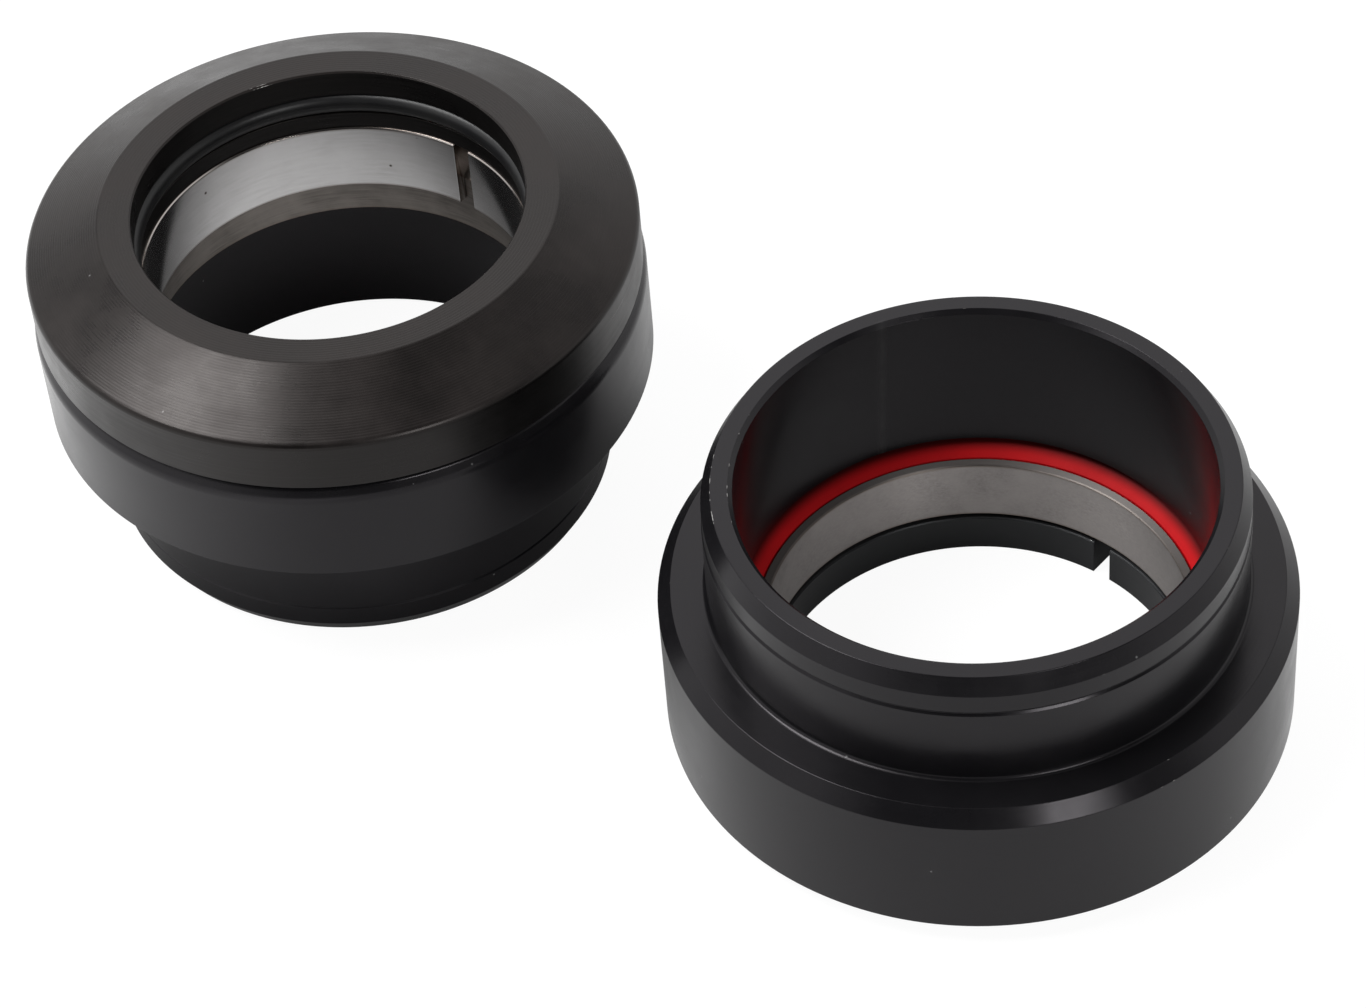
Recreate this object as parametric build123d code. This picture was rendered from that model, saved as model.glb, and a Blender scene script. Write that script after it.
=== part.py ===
from build123d import *
import os

# Threadless bicycle headset: upper and lower half side by side, in millimetres, +Z up.
# Both axes stand in the XZ plane, and the whole set is centred on the origin with its feet at Z = 0.

# Steerer that the headset is made for; the radii of all pieces build up outward from it
steerer_radius = 14.3
axis_spacing = 53.5

# Fits between pieces that stay together, gaps between pieces that turn, and broken edges
seat_clearance = 0.03
turning_gap = 0.3
edge_break = 0.25

# Cartridge bearings, with a 45 degree seat on each ring
bearing_section = 5.42
bearing_height = 7.0
outer_seat = 1.2
inner_seat = 1.92
bore_break = 0.1
lip_land = 0.56
full_shoulder = 0.3
low_shoulder = 1.25
ball_radius = 1.5875
ball_count = 20
race_clearance = 0.08

# Bearing seals and ball retainer
seal_depth = 0.9
seal_gap = 0.15
seal_groove_depth = 0.3
seal_groove_width = 0.46
seal_bulge = 0.8
seal_swell = 0.5
seal_bulge_width = 1.65
seal_headroom = 0.35
retainer_wall = 1.15
retainer_back = 0.6
retainer_reach = 1.1

# Press-fit skirts, which stand a step inside the bearings
skirt_step = 1.5
pilot_step = 0.06
pilot_length = 2.7
lead_width = 0.7
lead_length = 1.2
rim_bore_chamfer = 0.32
skirt_groove_width = 0.36
skirt_groove_depth = 0.16
skirt_root_fillet = 0.35
pocket_mouth_chamfer = 0.35

# Upper cup
upper_cup_wall = 2.27
upper_cup_floor = 1.3
upper_skirt_wall = 2.0
upper_skirt_length = 10.5
upper_mouth_chamfer = 0.5
upper_mouth_chamfer_height = 0.9
upper_bearing_recess = 0.2

# Lower cup
lower_cup_wall = 1.97
lower_cup_floor = 4.6
lower_skirt_wall = 2.3
lower_skirt_length = 9.4
lower_shoulder_chamfer = 0.95
lower_shoulder_chamfer_height = 1.1

# Compression ring
ring_sleeve_wall = 0.75
ring_flare = 2.12
ring_rise = 1.7
ring_length = 5.8
split_gap = 1.4
ring_split_angle = 83.3

# Top cap
cap_inset = 0.2
cap_bore_clearance = 0.15
cap_flat_width = 2.45
cap_band_height = 4.0
cap_cone_height = 2.8
cap_edge_round = 0.37
cap_wall = 1.7
cap_roof = 2.0
cap_hub_overlap = 0.2
cap_bore_chamfer = 0.12
cap_bore_land = 1.4

# Steerer O-ring
o_ring_section = 0.85
o_ring_inside = 0.05
o_ring_groove_clearance = 0.05

# Cap dust seal
dust_seal_wall = 0.7
dust_seal_height = 1.5
dust_lip_overlap = 0.85
dust_groove_depth = 0.3
dust_groove_height = 0.5

# Split crown race and its seal
race_split_angle = 81.4
crown_seat_wall = 0.08
race_plate = 1.3
race_overhang = 0.2
race_nose_height = 1.5
race_nose_break = 0.1
race_groove_depth = 0.25
race_groove_height = 0.4
race_seal_wall = 0.55
race_lip_gap = 0.15

# Radii worked out from the sizes above
bearing_bore_radius = steerer_radius + ring_sleeve_wall + seat_clearance
bearing_radius = bearing_bore_radius + bearing_section
pitch_radius = (bearing_radius + bearing_bore_radius) / 2
crown_seat_radius = bearing_bore_radius - crown_seat_wall
skirt_radius = bearing_radius - skirt_step
upper_flange_radius = bearing_radius + seat_clearance + upper_cup_wall
lower_flange_radius = bearing_radius + seat_clearance + lower_cup_wall
ring_radius = bearing_bore_radius + ring_flare
cap_radius = upper_flange_radius - cap_inset
cap_bore_radius = steerer_radius + cap_bore_clearance
cap_flat_radius = cap_bore_radius + cap_flat_width
cap_hub_radius = ring_radius + cap_hub_overlap
race_plate_radius = bearing_radius + race_overhang

# Places worked out from the sizes above
set_width = axis_spacing + upper_flange_radius + lower_flange_radius
upper_axis = upper_flange_radius - set_width / 2
lower_axis = set_width / 2 - lower_flange_radius
lower_lift = turning_gap + race_plate
upper_flange_height = upper_bearing_recess + bearing_height + upper_cup_floor
lower_flange_height = bearing_height + lower_cup_floor
upper_mouth = upper_skirt_length + upper_flange_height
upper_bearing_top = upper_mouth - upper_bearing_recess
ring_top = upper_mouth + ring_rise
cap_bottom = upper_mouth + turning_gap
cap_shoulder = cap_bottom + cap_band_height
cap_height = cap_shoulder + cap_cone_height
o_ring_groove_half = o_ring_section + o_ring_groove_clearance
o_ring_height = ring_top + cap_bore_land + o_ring_groove_half


def turned(*strokes):
    """Ring turned about the Z axis from a closed outline of lines and arcs in radius and height."""
    return revolve(Plane.XZ * make_face(strokes), axis=Axis.Z)


def outline(*points):
    return Polyline(*points)


def split(ring, angle):
    """Cuts one radial gap through a ring, as on a ring that is sprung over a tube."""
    reach = 2 * bearing_radius
    blade = Pos(reach / 2, 0, 0) * Box(reach, split_gap, 2 * reach)
    return ring - Rot(0, 0, angle) * blade


def in_upper_half(piece):
    """Turns a piece over, so that its seat side is at the top, and sets it under the cap."""
    return Pos(upper_axis, 0, upper_bearing_top) * Rot(180, 0, 0) * piece


def in_lower_half(piece):
    return Pos(lower_axis, 0, lower_lift) * piece


def cup(flange_radius, flange_height, skirt_wall, skirt_length, recess, shoulder_edge, mouth_edge):
    """Cup with its mouth at height 0 and its skirt upward; the bearing lies recess above the mouth."""
    shoulder, shoulder_height = shoulder_edge
    mouth, mouth_height = mouth_edge
    skirt_bore_radius = skirt_radius - skirt_wall
    rim = flange_height + skirt_length
    groove_top = rim - pilot_length
    groove_bottom = groove_top - skirt_groove_width
    pilot_radius = skirt_radius - pilot_step
    pocket_radius = bearing_radius + seat_clearance
    bearing_top = recess + bearing_height + seat_clearance
    seat_bottom = bearing_top - outer_seat
    relief_radius = pitch_radius - seal_gap
    lip = bearing_top + seal_bulge + seal_headroom
    root = skirt_radius + skirt_root_fillet
    outside = outline(
        (pocket_radius + pocket_mouth_chamfer, 0),
        (flange_radius - mouth, 0),
        (flange_radius, mouth_height),
        (flange_radius, flange_height - shoulder_height),
        (flange_radius - shoulder, flange_height),
        (root, flange_height),
    )
    fillet_arc = TangentArc(
        (root, flange_height),
        (skirt_radius, flange_height + skirt_root_fillet),
        tangent=(-1, 0),
    )
    skirt_and_pocket = outline(
        (skirt_radius, flange_height + skirt_root_fillet),
        (skirt_radius, groove_bottom),
        (skirt_radius - skirt_groove_depth, groove_bottom + skirt_groove_width / 2),
        (pilot_radius, groove_top),
        (pilot_radius, rim - lead_length),
        (skirt_radius - pilot_step - lead_width, rim),
        (skirt_bore_radius + rim_bore_chamfer, rim),
        (skirt_bore_radius, rim - rim_bore_chamfer),
        (skirt_bore_radius, lip),
        (relief_radius, lip),
        (relief_radius, bearing_top),
        (pocket_radius - outer_seat, bearing_top),
        (pocket_radius, seat_bottom),
        (pocket_radius, pocket_mouth_chamfer),
        (pocket_radius + pocket_mouth_chamfer, 0),
    )
    return turned(outside, fillet_arc, skirt_and_pocket)


def raceway():
    """Ring-shaped groove that the balls run in, common to both rings of a bearing."""
    return Pos(0, 0, bearing_height / 2) * Torus(pitch_radius, ball_radius + race_clearance)


def bearing_outer_ring():
    """Outer ring with its 45 degree seat at the top and a groove for each seal."""
    high = pitch_radius + full_shoulder
    low = pitch_radius + low_shoulder
    top_groove = bearing_height - seal_depth + seal_gap
    foot_groove = seal_depth - seal_gap - seal_groove_width
    ring = turned(outline(
        (low, 0),
        (bearing_radius - edge_break, 0),
        (bearing_radius, edge_break),
        (bearing_radius, bearing_height - outer_seat),
        (bearing_radius - outer_seat, bearing_height),
        (high, bearing_height),
        (high, top_groove + seal_groove_width),
        (high + seal_groove_depth, top_groove + seal_groove_width),
        (high + seal_groove_depth, top_groove),
        (high, top_groove),
        (high, bearing_height / 2),
        (low, bearing_height / 2),
        (low, foot_groove + seal_groove_width),
        (low + seal_groove_depth, foot_groove + seal_groove_width),
        (low + seal_groove_depth, foot_groove),
        (low, foot_groove),
        (low, 0),
    ))
    return ring - raceway()


def bearing_inner_ring():
    """Inner ring with its 45 degree seat in the bottom of the bore and a thin lip at the top."""
    high = pitch_radius - full_shoulder
    low = pitch_radius - low_shoulder
    lip = bearing_bore_radius + bore_break + lip_land
    ring = turned(outline(
        (bearing_bore_radius + inner_seat, 0),
        (high, 0),
        (high, bearing_height / 2),
        (low, bearing_height / 2),
        (low, bearing_height - seal_depth - seal_gap),
        (lip, bearing_height - seal_depth - seal_gap),
        (lip, bearing_height),
        (bearing_bore_radius + bore_break, bearing_height),
        (bearing_bore_radius, bearing_height - bore_break),
        (bearing_bore_radius, inner_seat),
        (bearing_bore_radius + inner_seat, 0),
    ))
    return ring - raceway()


def balls():
    ball = Pos(0, 0, bearing_height / 2) * Sphere(ball_radius)
    return Compound(PolarLocations(pitch_radius, ball_count) * ball)


def ball_retainer():
    """Crown-shaped retainer: a flat ring over the balls whose fingers reach down between them."""
    inside = pitch_radius - low_shoulder + seal_gap
    centre = bearing_height / 2
    top = centre + ball_radius + race_clearance + retainer_back
    ring = turned(outline(
        (inside, top - retainer_reach - retainer_back),
        (inside + retainer_wall, top - retainer_reach - retainer_back),
        (inside + retainer_wall, top),
        (inside, top),
        (inside, top - retainer_reach - retainer_back),
    ))
    pocket = Pos(0, 0, centre) * Sphere(ball_radius + race_clearance)
    for place in PolarLocations(pitch_radius, ball_count):
        ring -= place * pocket
    return ring


def inboard_seal():
    """Rubber seal on the skirt side, rising from the lip of the inner ring to the cup."""
    inside = bearing_bore_radius + bore_break + lip_land + seal_gap
    outside = pitch_radius + full_shoulder - seat_clearance
    foot = bearing_height - seal_depth
    groove = foot + seal_gap + seat_clearance
    groove_top = groove + seal_groove_width - 2 * seat_clearance
    bulge_end = inside + seal_bulge_width
    bulge = ThreePointArc(
        (inside, bearing_height),
        ((inside + bulge_end) / 2, bearing_height + seal_swell),
        (bulge_end, bearing_height + seal_bulge),
    )
    body = outline(
        (bulge_end, bearing_height + seal_bulge),
        (bulge_end, bearing_height),
        (outside, bearing_height),
        (outside, groove_top),
        (outside + seal_groove_depth, groove_top),
        (outside + seal_groove_depth, groove),
        (outside, groove),
        (outside, foot),
        (inside, foot),
        (inside, bearing_height),
    )
    return turned(bulge, body)


def outboard_seal():
    """Flat rubber seal on the seat side of the bearing."""
    inside = pitch_radius - full_shoulder + seal_gap
    outside = pitch_radius + low_shoulder - seat_clearance
    groove = seal_depth - seal_gap - seal_groove_width + seat_clearance
    groove_top = seal_depth - seal_gap - seat_clearance
    return turned(outline(
        (inside, seal_gap),
        (outside, seal_gap),
        (outside, groove),
        (outside + seal_groove_depth, groove),
        (outside + seal_groove_depth, groove_top),
        (outside, groove_top),
        (outside, seal_depth),
        (inside, seal_depth),
        (inside, seal_gap),
    ))


def compression_ring():
    """Split wedge ring whose cone sits in the inner ring of the upper bearing."""
    sleeve = bearing_bore_radius - seat_clearance
    cone_start = upper_bearing_top - inner_seat + seat_clearance
    cone_end = cone_start + ring_radius - sleeve
    ring_bottom = ring_top - ring_length
    ring = turned(outline(
        (steerer_radius, ring_bottom + edge_break),
        (steerer_radius + edge_break, ring_bottom),
        (sleeve, ring_bottom),
        (sleeve, cone_start),
        (ring_radius, cone_end),
        (ring_radius, ring_top - edge_break),
        (ring_radius - edge_break, ring_top),
        (steerer_radius + edge_break, ring_top),
        (steerer_radius, ring_top - edge_break),
        (steerer_radius, ring_bottom + edge_break),
    ))
    return split(ring, ring_split_angle)


def top_cap():
    """Turned cap: flat ring, wide cone and band outside, hub with an O-ring groove inside."""
    slope = (cap_height - cap_shoulder) / (cap_radius - cap_flat_radius)
    round_inward = cap_edge_round / (1 + slope**2) ** 0.5
    round_start = (cap_radius, cap_shoulder - cap_edge_round)
    round_end = (cap_radius - round_inward, cap_shoulder + slope * round_inward)
    band_bore = cap_radius - cap_wall
    band_roof = cap_shoulder + slope * cap_wall - cap_roof
    hub_roof = cap_shoulder + slope * (cap_radius - cap_hub_radius) - cap_roof
    groove_radius = steerer_radius + o_ring_inside + 2 * o_ring_section + o_ring_groove_clearance
    dust_groove = cap_bottom + dust_seal_height / 2
    band = outline((band_bore, cap_bottom), (cap_radius, cap_bottom), round_start)
    rounded_edge = TangentArc(round_start, round_end, tangent=(0, 1))
    cone_and_inside = outline(
        round_end,
        (cap_flat_radius, cap_height),
        (cap_bore_radius + cap_bore_chamfer, cap_height),
        (cap_bore_radius, cap_height - cap_bore_chamfer),
        (cap_bore_radius, o_ring_height + o_ring_groove_half),
        (groove_radius, o_ring_height + o_ring_groove_half),
        (groove_radius, o_ring_height - o_ring_groove_half),
        (cap_bore_radius, o_ring_height - o_ring_groove_half),
        (cap_bore_radius, ring_top),
        (cap_hub_radius, ring_top),
        (cap_hub_radius, hub_roof),
        (band_bore, band_roof),
        (band_bore, dust_groove + dust_groove_height),
        (band_bore + dust_groove_depth, dust_groove + dust_groove_height),
        (band_bore + dust_groove_depth, dust_groove),
        (band_bore, dust_groove),
        (band_bore, cap_bottom),
    )
    return turned(band, rounded_edge, cone_and_inside)


def steerer_o_ring():
    centre_radius = steerer_radius + o_ring_inside + o_ring_section
    return Pos(0, 0, o_ring_height) * Torus(centre_radius, o_ring_section)


def cap_dust_seal():
    """Rubber wiper held in the cap's band, with a lip that leans in over the bearing."""
    outside = cap_radius - cap_wall - seat_clearance
    inside = outside - dust_seal_wall
    groove = cap_bottom + dust_seal_height / 2 + seat_clearance
    groove_top = groove + dust_groove_height - 2 * seat_clearance
    foot = cap_bottom
    top = foot + dust_seal_height
    lip = bearing_radius - dust_lip_overlap
    return turned(outline(
        (lip, foot),
        (outside, foot),
        (outside, groove),
        (outside + dust_groove_depth, groove),
        (outside + dust_groove_depth, groove_top),
        (outside, groove_top),
        (outside, top),
        (inside, top),
        (inside, foot + inside - lip),
        (lip, foot),
    ))


def crown_race():
    """Split race pressed on the fork crown: a flat plate and a cone that fills the bearing's seat."""
    plate_top = -turning_gap
    plate_bottom = plate_top - race_plate
    cone_radius = bearing_bore_radius + inner_seat - seat_clearance
    groove = plate_bottom + (race_plate - race_groove_height) / 2
    ring = turned(outline(
        (crown_seat_radius, plate_bottom),
        (race_plate_radius, plate_bottom),
        (race_plate_radius, groove),
        (race_plate_radius - race_groove_depth, groove),
        (race_plate_radius - race_groove_depth, groove + race_groove_height),
        (race_plate_radius, groove + race_groove_height),
        (race_plate_radius, plate_top),
        (cone_radius - plate_top, plate_top),
        (cone_radius - race_nose_height, race_nose_height),
        (crown_seat_radius + race_nose_break, race_nose_height),
        (crown_seat_radius, race_nose_height - race_nose_break),
        (crown_seat_radius, plate_bottom),
    ))
    return split(ring, race_split_angle)


def crown_race_seal():
    """Rubber ring round the race's plate, with a lip that closes the gap under the cup."""
    inside = race_plate_radius + seat_clearance
    outside = inside + race_seal_wall
    plate_bottom = -turning_gap - race_plate
    groove = plate_bottom + (race_plate - race_groove_height) / 2 + seat_clearance
    groove_top = groove + race_groove_height - 2 * seat_clearance
    return turned(outline(
        (inside, groove),
        (outside - race_seal_wall / 4, groove),
        (outside, -race_lip_gap),
        (outside - race_seal_wall / 2, -race_lip_gap),
        (inside, groove_top),
        (inside - race_groove_depth, groove_top),
        (inside - race_groove_depth, groove),
        (inside, groove),
    ))


upper_cup = cup(
    upper_flange_radius,
    upper_flange_height,
    upper_skirt_wall,
    upper_skirt_length,
    upper_bearing_recess,
    shoulder_edge=(edge_break, edge_break),
    mouth_edge=(upper_mouth_chamfer, upper_mouth_chamfer_height),
)
lower_cup = cup(
    lower_flange_radius,
    lower_flange_height,
    lower_skirt_wall,
    lower_skirt_length,
    0,
    shoulder_edge=(lower_shoulder_chamfer, lower_shoulder_chamfer_height),
    mouth_edge=(edge_break, edge_break),
)

bearing = {
    "bearing_outer_ring": bearing_outer_ring(),
    "bearing_inner_ring": bearing_inner_ring(),
    "bearing_balls": balls(),
    "ball_retainer": ball_retainer(),
    "bearing_inboard_seal": inboard_seal(),
    "bearing_outboard_seal": outboard_seal(),
}

nodes = {
    "upper_cup": Pos(upper_axis, 0, upper_mouth) * Rot(180, 0, 0) * upper_cup,
    "compression_ring": Pos(upper_axis, 0, 0) * compression_ring(),
    "top_cap": Pos(upper_axis, 0, 0) * top_cap(),
    "steerer_o_ring": Pos(upper_axis, 0, 0) * steerer_o_ring(),
    "cap_dust_seal": Pos(upper_axis, 0, 0) * cap_dust_seal(),
    "lower_cup": in_lower_half(lower_cup),
    "crown_race": in_lower_half(crown_race()),
    "crown_race_seal": in_lower_half(crown_race_seal()),
}
for name, piece in bearing.items():
    nodes["upper_" + name] = in_upper_half(piece)
    nodes["lower_" + name] = in_lower_half(piece)

os.makedirs("parts", exist_ok=True)
for name, piece in nodes.items():
    export_step(piece, os.path.join("parts", name + ".step"))
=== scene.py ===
import bmesh
import bpy
from math import asin, cos, pi, radians, sin, tan
from mathutils import Matrix, Vector


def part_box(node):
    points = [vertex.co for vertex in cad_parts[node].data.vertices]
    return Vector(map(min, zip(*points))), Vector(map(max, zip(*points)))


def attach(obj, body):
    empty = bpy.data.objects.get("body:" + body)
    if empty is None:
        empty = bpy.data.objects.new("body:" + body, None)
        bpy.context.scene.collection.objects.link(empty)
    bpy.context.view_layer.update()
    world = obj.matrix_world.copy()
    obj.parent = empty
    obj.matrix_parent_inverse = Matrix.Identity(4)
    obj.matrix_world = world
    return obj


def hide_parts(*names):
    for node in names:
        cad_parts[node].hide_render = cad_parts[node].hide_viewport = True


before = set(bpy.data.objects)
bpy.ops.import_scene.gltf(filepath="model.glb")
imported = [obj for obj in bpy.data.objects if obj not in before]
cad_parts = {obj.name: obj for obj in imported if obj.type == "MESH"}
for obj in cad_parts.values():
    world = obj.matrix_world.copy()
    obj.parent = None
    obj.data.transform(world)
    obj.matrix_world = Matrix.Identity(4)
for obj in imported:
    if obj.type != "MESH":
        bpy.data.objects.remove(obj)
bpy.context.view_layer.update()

# Studio
# White paper under the set, a pale room that is darker above the camera's side, and three soft panels.
# The paper is white to the camera and takes the set's shadow; in reflections its glow carries a painted
# shadow close to and between the halves and a painted light to the left.
camera_turn = radians(34.76)
camera_dip = radians(45.77)
camera_roll = radians(5.03)
camera_place = Vector((0.12837, -0.18144, 0.2352))
camera_lens = 114.1
camera_film = 36.0
camera_near = 0.01
paper_reach = 6.0
paper_drop = 0.00005
paper_rounds = 96
paper_white = (1.0, 1.0, 1.0, 1.0)
paper_glow = 0.94
paper_shadow = (0.1, 0.1, 0.1, 1.0)
paper_mirror_shadow = (0.2, 0.2, 0.2, 1.0)
# Glow of the paper in reflections, near and far, each as (distance in metres, level); it paints shade in the
# bores, round and between the halves, and light to the left
paper_mirror_inside = ((0.006, 0.42), (0.016, 0.11))
paper_mirror_upper = ((0.019, 0.0), (0.034, 0.6))
paper_mirror_lower = ((0.0205, 0.0), (0.0235, 0.68))
paper_mirror_shade_between = ((0.056, 0.15), (0.068, 1.0))
paper_mirror_light_left = ((0.024, 1.0), (0.052, 1.75))
paper_bounce = (0.56, 0.56, 0.56, 1.0)
room_colour = (1.0, 1.0, 1.0, 1.0)
# Light of the room low down and high up, each as (rise, level)
room_low = (0.3, 1.05)
room_high = (0.98, 0.5)
room_shade_turn = radians(-46.0)
room_shade_height = radians(32.0)
room_shade_rise = (0.05, 0.2)
room_shade_edge = 0.5
room_shade_core = 0.78
room_shade = 0.05
# Name, turn and rise in degrees, distance, width and height in metres, power in watts
panels = (
    ("left_panel", -150.0, 60.0, 0.9, 0.5, 0.42, 8.2),
    ("right_panel", -30.0, 32.0, 0.9, 0.26, 0.14, 1.9),
    ("back_panel", 121.0, 46.0, 0.9, 0.7, 0.5, 1.15),
)


def place(tree, kind, feeds=None, **settings):
    """Adds a node; feeds gives each input a plain value or another node's output."""
    made = tree.nodes.new(kind)
    for key, value in settings.items():
        setattr(made, key, value)
    for key, value in (feeds or {}).items():
        if isinstance(value, bpy.types.NodeSocket):
            tree.links.new(value, made.inputs[key])
        else:
            made.inputs[key].default_value = value
    return made


def show(name, data):
    """Puts a mesh, a camera or a lamp into the scene."""
    made = bpy.data.objects.new(name, data)
    bpy.context.scene.collection.objects.link(made)
    return made


view_along = Vector((
    -sin(camera_turn) * cos(camera_dip),
    cos(camera_turn) * cos(camera_dip),
    -sin(camera_dip),
))
level_right = Vector((cos(camera_turn), sin(camera_turn), 0.0))
level_down = view_along.cross(level_right)
view_right = cos(camera_roll) * level_right + sin(camera_roll) * level_down
view_down = cos(camera_roll) * level_down - sin(camera_roll) * level_right
camera = show("camera", bpy.data.cameras.new("camera"))
camera.data.sensor_fit = "HORIZONTAL"
camera.data.sensor_width = camera_film
camera.data.lens = camera_lens
camera.data.clip_start = camera_near
camera.matrix_world = Matrix.Translation(camera_place) @ Matrix(
    (view_right, -view_down, -view_along)
).transposed().to_4x4()
bpy.context.scene.camera = camera
bpy.context.scene.view_settings.view_transform = "Standard"

paper_disc = bmesh.new()
bmesh.ops.create_circle(paper_disc, cap_ends=True, segments=paper_rounds, radius=paper_reach)
paper_mesh = bpy.data.meshes.new("paper")
paper_disc.to_mesh(paper_mesh)
paper_disc.free()
paper = show("paper", paper_mesh)
paper.location.z = -paper_drop

half_axes = [(low.x + high.x) / 2 for low, high in (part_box("upper_cup"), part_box("lower_cup"))]
paper_finish = bpy.data.materials.new("white_paper")
paper_finish.use_nodes = True
paper_finish.cycles.emission_sampling = "NONE"
tree = paper_finish.node_tree
tree.nodes.clear()
rays = place(tree, "ShaderNodeLightPath").outputs
mirrored = place(tree, "ShaderNodeMath", {
    0: rays["Is Glossy Ray"], 1: rays["Is Transmission Ray"]}, operation="MAXIMUM").outputs[0]
white = place(tree, "ShaderNodeEmission", {"Color": paper_white, "Strength": paper_glow})
shadow = place(tree, "ShaderNodeBsdfDiffuse", {"Color": paper_shadow})
seen = place(tree, "ShaderNodeAddShader", {0: white.outputs[0], 1: shadow.outputs[0]})
on_paper = place(tree, "ShaderNodeTexCoord").outputs["Object"]
from_upper, from_lower = (
    place(tree, "ShaderNodeVectorMath", {
        0: on_paper, 1: (axis, 0.0, 0.0)}, operation="DISTANCE").outputs["Value"]
    for axis in half_axes
)
nearest = place(tree, "ShaderNodeMath", {0: from_upper, 1: from_lower}, operation="MINIMUM").outputs[0]
from_both = place(tree, "ShaderNodeMath", {0: from_upper, 1: from_lower}, operation="ADD").outputs[0]
leftward = place(tree, "ShaderNodeVectorMath", {
    0: on_paper, 1: -level_right}, operation="DOT_PRODUCT").outputs["Value"]
inside, beside_upper, beside_lower, between, painted_left_light = (
    place(tree, "ShaderNodeMapRange", {
        "Value": away, "From Min": near[0], "From Max": far[0], "To Min": near[1], "To Max": far[1],
    }, interpolation_type="SMOOTHSTEP").outputs[0]
    for away, (near, far) in (
        (nearest, paper_mirror_inside), (from_upper, paper_mirror_upper),
        (from_lower, paper_mirror_lower), (from_both, paper_mirror_shade_between),
        (leftward, paper_mirror_light_left))
)
# Painted shadow round and between the halves and painted light to the left, in the glow the paper shows in
# reflections
outside = place(tree, "ShaderNodeMath", {0: beside_upper, 1: beside_lower}, operation="MINIMUM").outputs[0]
outside = place(tree, "ShaderNodeMath", {0: outside, 1: painted_left_light}, operation="MULTIPLY").outputs[0]
painted_mirror_glow = place(tree, "ShaderNodeMath", {
    0: outside, 1: between, 2: inside}, operation="MULTIPLY_ADD").outputs[0]
mirror_white = place(tree, "ShaderNodeEmission", {"Color": paper_white, "Strength": painted_mirror_glow})
mirror_shadow = place(tree, "ShaderNodeBsdfDiffuse", {"Color": paper_mirror_shadow})
bounce = place(tree, "ShaderNodeBsdfDiffuse", {"Color": paper_bounce})
reflected = place(tree, "ShaderNodeAddShader", {0: mirror_white.outputs[0], 1: mirror_shadow.outputs[0]})
off_camera = place(tree, "ShaderNodeMixShader", {
    0: mirrored, 1: bounce.outputs[0], 2: reflected.outputs[0]})
top_side = place(tree, "ShaderNodeMixShader", {
    0: rays["Is Camera Ray"], 1: off_camera.outputs[0], 2: seen.outputs[0]})
under_side = place(tree, "ShaderNodeBsdfTransparent")
side = place(tree, "ShaderNodeNewGeometry")
both = place(tree, "ShaderNodeMixShader", {
    0: side.outputs["Backfacing"], 1: top_side.outputs[0], 2: under_side.outputs[0]})
place(tree, "ShaderNodeOutputMaterial", {"Surface": both.outputs[0]})
paper_mesh.materials.append(paper_finish)

room = bpy.data.worlds.new("pale_room")
room.use_nodes = True
tree = room.node_tree
tree.nodes.clear()
toward = place(tree, "ShaderNodeTexCoord").outputs["Generated"]
rise = place(tree, "ShaderNodeSeparateXYZ", {0: toward}).outputs[2]
pale = place(tree, "ShaderNodeMapRange", {
    "Value": rise, "From Min": room_low[0], "From Max": room_high[0],
    "To Min": room_low[1], "To Max": room_high[1]}, interpolation_type="SMOOTHSTEP").outputs[0]
above = place(tree, "ShaderNodeMapRange", {
    "Value": rise, "From Min": room_shade_rise[0], "From Max": room_shade_rise[1],
}, interpolation_type="SMOOTHSTEP").outputs[0]
darkest = Vector((
    cos(room_shade_turn) * cos(room_shade_height),
    sin(room_shade_turn) * cos(room_shade_height),
    sin(room_shade_height),
))
nearness = place(tree, "ShaderNodeVectorMath", {
    0: toward, 1: darkest}, operation="DOT_PRODUCT").outputs["Value"]
dimming = place(tree, "ShaderNodeMapRange", {
    "Value": nearness, "From Min": room_shade_edge, "From Max": room_shade_core,
    "To Min": 1.0, "To Max": room_shade}, interpolation_type="SMOOTHSTEP").outputs[0]
shade = place(tree, "ShaderNodeMix", {"Factor": above, 2: 1.0, 3: dimming}).outputs[0]
level = place(tree, "ShaderNodeMath", {0: pale, 1: shade}, operation="MULTIPLY").outputs[0]
glow = place(tree, "ShaderNodeBackground", {"Color": room_colour, "Strength": level})
place(tree, "ShaderNodeOutputWorld", {"Surface": glow.outputs[0]})
bpy.context.scene.world = room

for name, turn, rise, distance, width, height, power in panels:
    lamp = bpy.data.lights.new(name, "AREA")
    lamp.shape = "RECTANGLE"
    lamp.size = width
    lamp.size_y = height
    lamp.energy = power
    turn, rise = radians(turn), radians(rise)
    panel = show(name, lamp)
    toward = Vector((cos(turn) * cos(rise), sin(turn) * cos(rise), sin(rise)))
    panel.location = toward * distance
    panel.rotation_euler = toward.to_track_quat("Z", "Y").to_euler()
    panel.visible_camera = False

# Upper cup
# Aluminium cup that presses into the top of the head tube and holds the upper bearing.
# Turned from bar with a root fillet, a skirt with a groove and a lead chamfer, then anodised satin black.
mm = 0.001
ring_rounds = 192
corner_share = 0.45
support_width = 0.18
support_room = 2.5
fine_radius = 0.2
fine_steps = 3
round_steps = 9
break_wear = 0.6
slit_break = 0.03
sharp_break = 0.05
soft_break = 0.09
root_fillet = 0.35
# Shares of a slit ring's unrolled map: its wall, the seams beside the slit and the faces of the slit
map_start = 0.06
map_end = 0.94
map_seam = 0.01
map_face = 0.04
map_margin = 0.005


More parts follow.
